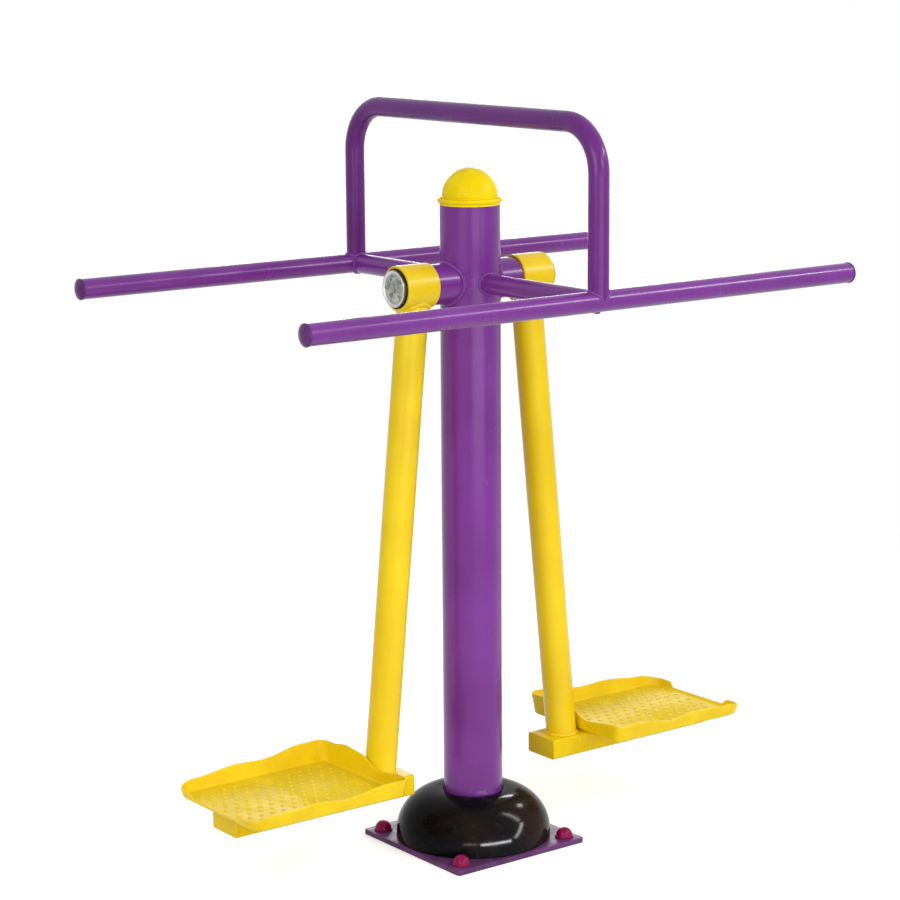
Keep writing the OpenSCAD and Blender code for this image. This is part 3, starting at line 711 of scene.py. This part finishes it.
def beadTree():
    tree, given = startTree("weldBead", {
        "Bead Radius": "Float", "Ripple Pitch": "Float", "Ripple Depth": "Float", "Step": "Float",
        "Unevenness": "Float", "Finish": "Material"})
    line = addNode(tree, "GeometryNodeResampleCurve", {
        "Curve": given["Geometry"], "Length": given["Step"]}, mode="LENGTH")
    along = addNode(tree, "GeometryNodeSplineParameter")["Length"]
    phase = math2(tree, "DIVIDE", times(tree, along, pi), given["Ripple Pitch"])
    ripple = math2(tree, "ABSOLUTE", math2(tree, "SINE", phase))
    place = addNode(tree, "GeometryNodeInputPosition")[0]
    drift = math2(tree, "SUBTRACT", noise(tree, place, 90, 1), 0.5)
    size = plus(tree, times(tree, ripple, given["Ripple Depth"]), times(tree, drift, given["Unevenness"]))
    size = times(tree, plus(tree, size, 1.0), given["Bead Radius"])
    ring = addNode(tree, "GeometryNodeCurvePrimitiveCircle", {"Resolution": 10, "Radius": 1.0})[0]
    bead = addNode(tree, "GeometryNodeCurveToMesh", {
        "Curve": line[0], "Profile Curve": ring, "Scale": size, "Fill Caps": True})[0]
    bead = addNode(tree, "GeometryNodeSetShadeSmooth", {"Geometry": bead})[0]
    endTree(tree, bead, given["Finish"])
    return tree


weld = {
    "ripplePitch": 0.0042,
    "rippleDepth": 0.22,
    "step": 0.0009,
    "unevenness": 0.35,
    "postBead": 0.0042,
    "railBead": 0.0030,
    "armBead": 0.0036,
    "stitchBead": 0.0030,
    "seamPoints": 120,
    "armPoints": 140,
    "legSink": 0.0032,  # keeps the hoop's beads within the rail's outer side
}
weldBead = beadTree()


def makeWelds(name, body, material, slotName, seams, radius):
    data = bpy.data.curves.new(name + "Path", "CURVE")
    data.dimensions = "3D"
    for points, closed in seams:
        spline = data.splines.new("POLY")
        spline.points.add(len(points) - 1)
        for target, point in zip(spline.points, points):
            target.co = (*point, 1)
        spline.use_cyclic_u = closed
    piece = grow(name, addObject(name + "Path", data), weldBead, {
        "Bead Radius": radius, "Ripple Pitch": weld["ripplePitch"], "Ripple Depth": weld["rippleDepth"],
        "Step": weld["step"], "Unevenness": weld["unevenness"], "Finish": material})
    dress(piece, body, material, slotName)


# Seam of a tube along X on the upright post, and of a tube along Y on it
def seamOnPost(radius, side, alongX):
    points = []
    for c, s in circle(weld["seamPoints"]):
        across, up = radius * c, radius * s
        out = side * sqrt(postRadius ** 2 - across ** 2)
        points.append((out, across, axisZ + up) if alongX else (across, out, axisZ + up))
    return points, True


# Where a cross tube and the hoop's leg meet a handrail, three equal tubes share their seams at 45 degrees
def crossTubeSeam(side):
    points = []
    for c, s in circle(weld["seamPoints"]):
        reach = railRadius * max(abs(c), s)
        points.append((railRadius * c, side * (railY - reach), axisZ + railRadius * s))
    return points, True


def hoopLegSeam(side):
    points = []
    for k in range(91):
        t = radians(-45 + 270 * k / 90)
        reach = railRadius * abs(cos(t))
        sink = weld["legSink"] * max(0.0, sin(t)) ** 8
        points.append((railRadius * cos(t), side * (railY + railRadius * sin(t) - sink), axisZ + reach))
    return points, False


makeWelds("postWelds", "frame", purplePaint, "purple_paint",
          [seamOnPost(hubRadius, side, True) for side in (-1, 1)], weld["postBead"])
makeWelds("railWelds", "frame", purplePaint, "purple_paint",
          [seamOnPost(railRadius, side, False) for side in (-1, 1)]
          + [crossTubeSeam(side) for side in (-1, 1)] + [hoopLegSeam(side) for side in (-1, 1)],
          weld["railBead"])


# The swings: arm seams, pan stitches, bar end plates, end caps and tread pans

swingArm = {
    "splay": 5.65,  # degrees outward
    "shaftX": 0.131,  # the arm's centre line at the shaft
}
splay = radians(swingArm["splay"])
footX = swingArm["shaftX"] + (axisZ - barTop) * tan(splay)


def armSeams(side):
    top, foot = [], []
    lean = Vector((sin(splay), 0, -cos(splay)))
    start = Vector((swingArm["shaftX"], 0, axisZ))
    for c, s in circle(weld["armPoints"]):
        off = Vector((cos(splay) * c, s, sin(splay) * c)) * armRadius
        drop = (off.z + sqrt(sleeveRadius ** 2 - off.y ** 2)) / cos(splay)
        reach = (axisZ - barTop + off.z) / cos(splay)
        for line, length in ((top, drop), (foot, reach)):
            spot = start + off + lean * length
            line.append((side * spot.x, spot.y, spot.z))
    return [(top, True), (foot, True)]


panStitch = {
    "length": 0.045,
    "places": (0.03, 0.13, 0.23),  # from the pan's inner end
    "sink": 0.0012,  # below the bar's top
}


def stitchSeams(side):
    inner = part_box("right_tread_pan")[0].x
    edgeY = extent("right_pedal_bar").y / 2
    seams = []
    for y in (-edgeY, edgeY):
        for place in panStitch["places"]:
            along = (inner + place + panStitch["length"] * k / 8 for k in range(9))
            seams.append(([(side * x, y, barTop - panStitch["sink"]) for x in along], False))
    return seams


endPlate = {
    "thickness": 0.004,
    "cornerRadius": 0.005,
    "edge": 0.0012,
    "spigot": 0.014,
    "spigotInset": 0.00325,
}


def makeBarEnds(name, side, p):
    size = extent("right_pedal_bar")
    low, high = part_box("right_bar_caps")
    plate, spigot, inset, edge = p["thickness"], p["spigot"], p["spigotInset"], p["edge"]
    onSide = Matrix(((0, 0, side, 0), (1, 0, 0, 0), (0, 1, 0, 0), (0, 0, 0, 1)))  # slab's height along X
    place = Matrix.Translation((0, 0, (low.z + high.z) / 2)) @ onSide
    bm = bmesh.new()

    def part(x0, x1, shrink, roll):
        def outline(d):
            return roundedOutline(size.y / 2, size.z / 2, p["cornerRadius"], shrink + d, 6)

        absorb(bm, rolledSlab("end", outline, x0, x1, roll, place))

    part(low.x, low.x + plate, 0, edge)
    part(low.x + plate, low.x + plate + spigot, inset, edge / 3)
    part(high.x - plate, high.x, 0, edge)
    part(high.x - plate - spigot, high.x - plate, inset, edge / 3)
    return smoothShade(newPiece(name + "BarEnds", bm), 30)


# End cap: rolled rim, painted bright as a highlight in the plated finish, sunk ring and a raised boss with
# a shallow dish
endCap = {
    "height": 0.006,
    "floor": 0.0036,
    "bossRadius": 0.017,
    "dishRadius": 0.010,
    "spigot": 0.005,
    "spigotRadius": 0.0308,
    "wall": 0.0016,
    "edge": 0.0005,
    "rimFoot": 0.0034,  # how far the rim's roll slopes down to the sunk ring
    "bossSlope": 0.005,
}


def makeEndCap(name, side, p):
    outer = extent("right_end_cap").z / 2
    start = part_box("right_cap_gasket")[1].x
    rim, top, boss, dish = p["height"] / 2, p["height"], p["bossRadius"], p["dishRadius"]
    spigot, foot, edge = p["spigotRadius"], -p["spigot"], p["edge"]
    inside, under = spigot - p["wall"], p["floor"] - p["wall"]
    profile = [(0, under), (inside, under), (inside, foot), (spigot - edge, foot), (spigot, foot + edge),
               (spigot, 0), (outer, 0)]
    profile += arc(outer - rim, rim, rim, 0, 150, 16)
    profile += filleted([
        (outer - rim - p["rimFoot"], p["floor"], 0), (boss + p["bossSlope"], p["floor"], 0.0008),
        (boss, top - 0.001, 0.001), (boss - 0.004, top, 0.001), (dish, top + 0.0002, 0.0006),
        (dish - 0.002, top - 0.0004, 0.0008), (0, top + 0.0006, 0)])
    return turned(name + "EndCap", profile, 96, False, facingOut(side, start))


# Tread pan: a pressed sheet, its floor bent up into flared lips with a wavy rolled edge
treadPan = {
    "sheet": 0.003,
    "bend": 0.004,  # inner radius of the bend between floor and lip
    "flare": 16.0,
    "innerFlare": 3.0,
    "innerCorner": 0.016,  # corner radii at the floor
    "outerCorner": 0.030,
    "length": 0.333,
    "width": 0.266,
    "gap": 0.0026,  # from the arm
    # Lips: place along the edge and height above the floor
    "backLip": ((0, 0.0405), (0.050, 0.040), (0.140, 0.028), (0.200, 0.030), (0.293, 0.022),
                (0.347, 0.015)),
    "frontLip": ((0, 0.032), (0.050, 0.034), (0.140, 0.022), (0.200, 0.029), (0.293, 0.025),
                 (0.347, 0.015)),
    "innerLip": ((-0.153, 0.032), (-0.115, 0.032), (-0.040, 0.023), (0.0213, 0.043), (0.0665, 0.046),
                 (0.108, 0.040), (0.153, 0.040)),
    "outerLip": ((0, 0.003), (0.070, 0.003), (0.088, 0.015), (0.153, 0.020)),
    "lipStand": 0.008,  # how far a lip's edge stands outside the floor
    "cornerZone": 0.030,  # strip along each long lip where its height counts
    "outerZone": 0.012,  # the same for the outer lip
    "drainRadius": 0.004,
    "drainEdge": 0.0005,
    "drainY": 0.072,
}
panStart = footX + armRadius / cos(splay) + treadPan["gap"]


def eased(t):
    t = min(1.0, max(0.0, t))
    return t * t * (3 - 2 * t)


def waveHeight(place, stations):
    for (a, low), (b, high) in zip(stations, stations[1:]):
        if place < b or b == stations[-1][0]:
            return low + (high - low) * eased((place - a) / (b - a))
    return stations[-1][1]


# Height of the lip's edge at a place x from the inner end and y from the middle line
def lipHeight(p, x, y):
    heights = []
    if abs(y) > p["width"] / 2 - p["cornerZone"]:
        heights.append(waveHeight(x, p["backLip"] if y > 0 else p["frontLip"]))
    if x < p["sheet"] + p["bend"]:
        heights.append(waveHeight(y, p["innerLip"]))
    if x > p["length"] - p["outerZone"]:
        heights.append(waveHeight(abs(y), p["outerLip"]))
    return min(heights)


# Stations round the pan's floor, each a place and its outward direction
def panStations(p, x0, x1, half):
    inner, outer = p["innerCorner"], p["outerCorner"]
    stations = []

    def straight(start, end, outward, count):
        for k in range(count):
            stations.append((Vector(start).lerp(Vector(end), k / count), Vector(outward)))

    def corner(centre, radius, startDegrees, count):
        for k in range(count):
            t = radians(startDegrees + 90 * k / count)
            outward = Vector((cos(t), sin(t)))
            stations.append((Vector(centre) + outward * radius, outward))

    straight((x1, outer - half), (x1, half - outer), (1, 0), 76)
    corner((x1 - outer, half - outer), outer, 0, 16)
    straight((x1 - outer, half), (x0 + inner, half), (0, 1), 70)
    corner((x0 + inner, half - inner), inner, 90, 14)
    straight((x0, half - inner), (x0, inner - half), (-1, 0), 50)
    corner((x0 + inner, inner - half), inner, 180, 14)
    straight((x0 + inner, -half), (x1 - outer, -half), (0, -1), 70)
    corner((x1 - outer, outer - half), outer, 270, 16)
    return stations


# Section of the sheet at one station, from the floor's edge round the lip and back underneath:
# how far out, height above the underside, and how much it is rubbed as a rim
def lipSection(p, lip, flare):
    t, bend = p["sheet"], p["bend"]
    turn = pi / 2 - flare
    centreOut = -(bend + t) * tan(turn / 2)
    centreUp = t + bend
    steps = range(1, 7)

    def bent(radius, a):
        return centreOut + radius * sin(a), centreUp - radius * cos(a)

    points = [(*bent(bend, turn * k / 6), 0.0) for k in range(7)]  # inner face of the bend
    along = Vector((sin(flare), cos(flare)))
    out = Vector((cos(flare), -sin(flare)))
    start = Vector(points[-1][:2])
    run = max(0.0004, (t + lip - t / 2 - start.y) / along.y)
    points += [(*(start + along * (run * k / 6)), max(0.0, k / 6 - 0.6) * 1.5) for k in steps]
    mid = start + along * run + out * (t / 2)
    for a in (pi * k / 6 for k in steps):  # rolled edge
        spot = mid - out * (t / 2 * cos(a)) + along * (t / 2 * sin(a))
        points.append((*spot, 1.0))
    outerTop, outerEnd = mid + out * (t / 2), Vector(bent(bend + t, turn))
    points += [(*outerTop.lerp(outerEnd, k / 6), max(0.0, 0.4 - k / 6)) for k in steps]
    return points + [(*bent(bend + t, turn * (1 - k / 6)), 0.0) for k in steps]


def makeTreadPan(name, side, p):
    x0, x1, half = panStart, panStart + p["length"], p["width"] / 2
    flare, innerFlare = radians(p["flare"]), radians(p["innerFlare"])
    bm = bmesh.new()
    rimLayer = bm.verts.layers.float.new("rim")
    treadLayer = bm.verts.layers.float.new("tread")
    rings = []
    for spot, outward in panStations(p, x0, x1, half):
        towardsArm = max(0.0, -outward.x) ** 2
        lean = flare + (innerFlare - flare) * towardsArm
        edge = spot + outward * p["lipStand"]
        lip = lipHeight(p, edge.x - x0, edge.y)
        ring = []
        for out, up, rim in lipSection(p, lip, lean):
            place = spot + outward * out
            vert = bm.verts.new((side * place.x, place.y, barTop + up))
            vert[rimLayer] = rim
            ring.append(vert)
        rings.append(ring)
    for here, there in zip(rings, rings[1:] + rings[:1]):
        for corners in zip(here, there, there[1:], here[1:]):
            bm.faces.new(corners)
    floorX = (x0 + x1) / 2
    top, under = [[r[0] for r in rings]], [[r[-1] for r in rings]]
    hole, bevel = p["drainRadius"], p["drainEdge"]
    for y in (-p["drainY"], p["drainY"]):
        bore = []
        for radius, height in ((hole + bevel, p["sheet"]), (hole, p["sheet"] - bevel),
                               (hole, 0.0004), (hole + 0.0004, 0)):
            bore.append([bm.verts.new((side * (floorX + radius * c), y + radius * s, barTop + height))
                         for c, s in circle(36)])
        for low, high in zip(bore, bore[1:]):
            bridge(bm, low, high)
        top.append(bore[0])
        under.append(bore[-1])
    for vert in (v for loop in top for v in loop):
        vert[treadLayer] = 1.0
    fillFlat(bm, top)
    fillFlat(bm, under)
    return smoothShade(newPiece(name + "TreadPan", bm), 50)


# Grip studs in offset rows, kept clear of the drains
gripStud = {
    "radius": 0.005,
    "topRadius": 0.0038,
    "height": 0.0016,
    "pitch": 0.024,
    "rowStep": 0.866,  # of the pitch, for rows that stand in each other's gaps
    "sink": 0.0004,
    "margin": 0.8,  # of the pitch, along the lips
    "drainGap": 0.003,
    "wear": 0.8,  # of the floor's wear
}


def studTree():
    tree, given = startTree("gripStuds", {
        "Stud": "Object", "Columns": "Int", "Rows": "Int", "Pitch": "Float", "Drain Y": "Float",
        "Drain Gap": "Float", "Middle": "Vector", "Finish": "Material"})
    pitch = given["Pitch"]
    rowPitch = times(tree, pitch, gripStud["rowStep"])
    rows = times(tree, given["Rows"], 2.0)
    lengthwise = times(tree, given["Columns"], pitch)
    grid = addNode(tree, "GeometryNodeMeshGrid", {
        "Size X": lengthwise, "Size Y": times(tree, rows, rowPitch),
        "Vertices X": plus(tree, given["Columns"], 1.0), "Vertices Y": plus(tree, rows, 1.0)})["Mesh"]
    place = addNode(tree, "GeometryNodeInputPosition")[0]
    apart = addNode(tree, "ShaderNodeSeparateXYZ", {0: place})
    row = math2(tree, "ROUND", math2(tree, "DIVIDE", apart["Y"], rowPitch))
    odd = math2(tree, "MODULO", math2(tree, "ABSOLUTE", row), 2.0)
    grid = shifted(tree, grid, combine(tree, X=times(tree, odd, times(tree, pitch, 0.5))))
    limit = plus(tree, times(tree, lengthwise, 0.5), times(tree, pitch, 0.25))
    past = math2(tree, "GREATER_THAN", apart["X"], limit)
    fold = combine(tree, X=apart["X"], Y=math2(tree, "ABSOLUTE", apart["Y"]))
    drain = combine(tree, Y=given["Drain Y"])
    away = addNode(tree, "ShaderNodeVectorMath", {0: fold, 1: drain}, operation="DISTANCE")
    near = math2(tree, "LESS_THAN", away["Value"], given["Drain Gap"])
    grid = addNode(tree, "GeometryNodeDeleteGeometry", {
        "Geometry": grid, "Selection": math2(tree, "MAXIMUM", past, near)}, domain="POINT")[0]
    grid = shifted(tree, grid, given["Middle"])
    return scatter(tree, grid, given["Stud"], (0, 0, 0), given["Finish"])


studLayout = studTree()


def makeStuds(name, side, p):
    radius, top, height = p["radius"], p["topRadius"], p["height"]
    profile = [(radius + 0.0003, -p["sink"]), (radius, 0.0001), (radius - 0.0005, height / 2),
               (top, height - 0.00025), (top * 0.8, height - 0.00005), (0, height)]
    stud = smoothShade(turned("studShape", profile, 18, False), 80)
    margin = p["pitch"] * p["margin"]
    columns = int((treadPan["length"] - 2 * margin) / p["pitch"])
    rows = int((treadPan["width"] / 2 - margin) / (p["pitch"] * p["rowStep"]))
    middleX = side * (panStart + treadPan["length"] / 2)
    studs = grow(name + "GripStuds", emptyMesh("studStart"), studLayout, {
        "Stud": stud, "Columns": columns, "Rows": rows, "Pitch": p["pitch"], "Drain Y": treadPan["drainY"],
        "Drain Gap": p["radius"] + treadPan["drainRadius"] + p["drainGap"],
        "Middle": (middleX, 0, barTop + treadPan["sheet"]), "Finish": treadPaint})
    bpy.data.objects.remove(stud)
    tread = studs.data.attributes.new("tread", "FLOAT", "POINT")
    tread.data.foreach_set("value", [p["wear"]] * len(studs.data.vertices))
    return studs


for name, side in (("right", 1), ("left", -1)):
    body = name + "_swing"
    makeWelds(name + "ArmWelds", body, yellowPaint, "yellow_paint", armSeams(side), weld["armBead"])
    makeWelds(name + "PanStitches", body, barPaint, "yellow_paint", stitchSeams(side), weld["stitchBead"])
    dress(makeBarEnds(name, side, endPlate), body, barPaint, "yellow_paint", name + "_bar_caps")
    dress(makeEndCap(name, side, endCap), body, platedCap, "bright_cap", name + "_end_cap")
    dress(makeTreadPan(name, side, treadPan), body, treadPaint, "yellow_paint", name + "_tread_pan")
    dress(makeStuds(name, side, gripStud), body, treadPaint, "yellow_paint")
    print(name, "swing made")


# Finishes of the solids that keep their own shape

finishOf = {
    "purple_paint": purplePaint,
    "yellow_paint": yellowPaint,
    "black_cover": blackGloss,
    "crimson_caps": crimsonPlastic,
    "yellow_cap": yellowPlastic,
    "purple_plugs": plumPlastic,
    "bright_cap": platedCap,
    "bearing_steel": bearingSteel,
    "steel": groundSteel,
    "rubber": blackRubber,
}
for node in nodes.values():
    for holder in node.material_slots:
        holder.material = finishOf[holder.material.name.split(".")[0]]
# The hoop takes the darker copy of the purple coat, which is painted shade
for name, finish in (("right_pedal_bar", barPaint), ("left_pedal_bar", barPaint), ("hoop", shadedHoopPaint)):
    nodes[name].material_slots[0].material = finish
print("solids finished")


# Floor, world and lamps

studio = {
    "ambient": (0.95, 0.96, 1.0),
    "ambientStrength": 0.64,
    "floorColour": (0.80, 0.80, 0.80),
    "floorLift": 0.46,
    "floorRadius": 14,
    "floorDrop": 0.0005,  # keeps the floor just under the base plate
    "fade": (0.9, 3.0),  # from the post, where the floor turns plain white
}
softboxes = {  # azimuth from -Y towards +X, elevation, distance, aim height, width, height, spin, watts
    "keyBox": (8, 23, 3.4, 0.8, 1.2, 0.9, 0, 22),
    "railBox": (45, 31, 3.4, 0.9, 1.6, 0.07, 0, 34),
    "postBox": (-8, -2, 3.2, 0.8, 2.6, 1.2, 0, 24),
    "fillBox": (-64, 20, 3.6, 0.7, 1.8, 1.8, 0, 46),
    "backBox": (142, 7, 3.8, 0.8, 1.8, 1.2, 0, 38),
}
domeStrips = {  # the same, mirrored in the glossy cover alone
    "lowLeft": (-42, 5, 2.9, 0.06, 1.0, 0.16, 0, 20),
    "lowRight": (-4, 4, 2.9, 0.06, 2.4, 0.26, 0, 330),
    "rising": (38, 18, 2.9, 0.06, 1.7, 0.24, 42, 100),
    "steep": (54, 48, 2.9, 0.06, 1.5, 0.30, 78, 60),
    "spot": (95, 40, 3.0, 0.06, 0.40, 0.30, 0, 14),
    "dash": (130, 32, 3.0, 0.06, 0.34, 0.18, 0, 7),
}


def whiteLight(tree, kind, strength):
    return addNode(tree, kind, {"Color": (1, 1, 1, 1), "Strength": strength})[0]


def seenOrMirrored(tree):
    path = addNode(tree, "ShaderNodeLightPath")
    both = math2(tree, "MAXIMUM", path["Is Camera Ray"], path["Is Glossy Ray"])
    return math2(tree, "MAXIMUM", both, path["Is Transmission Ray"])


def makeWorld(p):
    world = bpy.data.worlds.new("studioWorld")
    scene.world = world
    world.use_nodes = True
    tree = world.node_tree
    tree.nodes.clear()
    ambient = addNode(tree, "ShaderNodeBackground", {
        "Color": (*p["ambient"], 1), "Strength": p["ambientStrength"]})[0]
    white = whiteLight(tree, "ShaderNodeBackground", 1.0)
    mix = addNode(tree, "ShaderNodeMixShader", {0: seenOrMirrored(tree), 1: ambient, 2: white})
    addNode(tree, "ShaderNodeOutputWorld", {"Surface": mix[0]})


def makeFloor(p):
    bm = bmesh.new()
    bmesh.ops.create_circle(bm, cap_ends=True, radius=p["floorRadius"], segments=96)
    bmesh.ops.translate(bm, verts=bm.verts, vec=(0, 0, -p["floorDrop"]))
    floor = newPiece("floor", bm)
    material, tree, place = startMaterial("paleFloor")
    diffuse = addNode(tree, "ShaderNodeBsdfDiffuse", {"Color": (*p["floorColour"], 1)})
    lift = whiteLight(tree, "ShaderNodeEmission", times(tree, seenOrMirrored(tree), p["floorLift"]))
    near = addNode(tree, "ShaderNodeAddShader", {0: diffuse[0], 1: lift})
    white = whiteLight(tree, "ShaderNodeEmission", seenOrMirrored(tree))
    away = addNode(tree, "ShaderNodeVectorMath", {0: place}, operation="LENGTH")["Value"]
    fade = remap(tree, away, *p["fade"], 0, 1)
    mix = addNode(tree, "ShaderNodeMixShader", {0: fade, 1: near[0], 2: white})
    addNode(tree, "ShaderNodeOutputMaterial", {"Surface": mix[0]})
    floor.data.materials.append(material)


# Each lamp stands at its distance from the post, turned towards it; receivers says what it lights
def makeLamps(boxes, receivers):
    for name, (azimuth, elevation, distance, aim, width, height, spin, watts) in boxes.items():
        a, e = radians(azimuth), radians(elevation)
        away = Vector((sin(a) * cos(e), -cos(a) * cos(e), sin(e)))
        data = bpy.data.lights.new(name, "AREA")
        data.shape = "RECTANGLE"
        data.size, data.size_y = width, height
        data.energy = watts
        lamp = addObject(name, data)
        facing = away.to_track_quat("Z", "Y").to_matrix() @ Matrix.Rotation(radians(spin), 3, "Z")
        lamp.matrix_world = Matrix.Translation(Vector((0, 0, aim)) + away * distance) @ facing.to_4x4()
        lamp.visible_camera = False
        lamp.light_linking.receiver_collection = receivers


# A collection that holds the cover alone, so that a lamp can light only the cover or all but the cover
def coverCollection(name, state):
    group = bpy.data.collections.new(name)
    group.objects.link(domeCover)
    group.collection_objects[0].light_linking.link_state = state
    return group


makeWorld(studio)
makeFloor(studio)
makeLamps(softboxes, coverCollection("allButCover", "EXCLUDE"))
makeLamps(domeStrips, coverCollection("coverAlone", "INCLUDE"))
print("studio made")
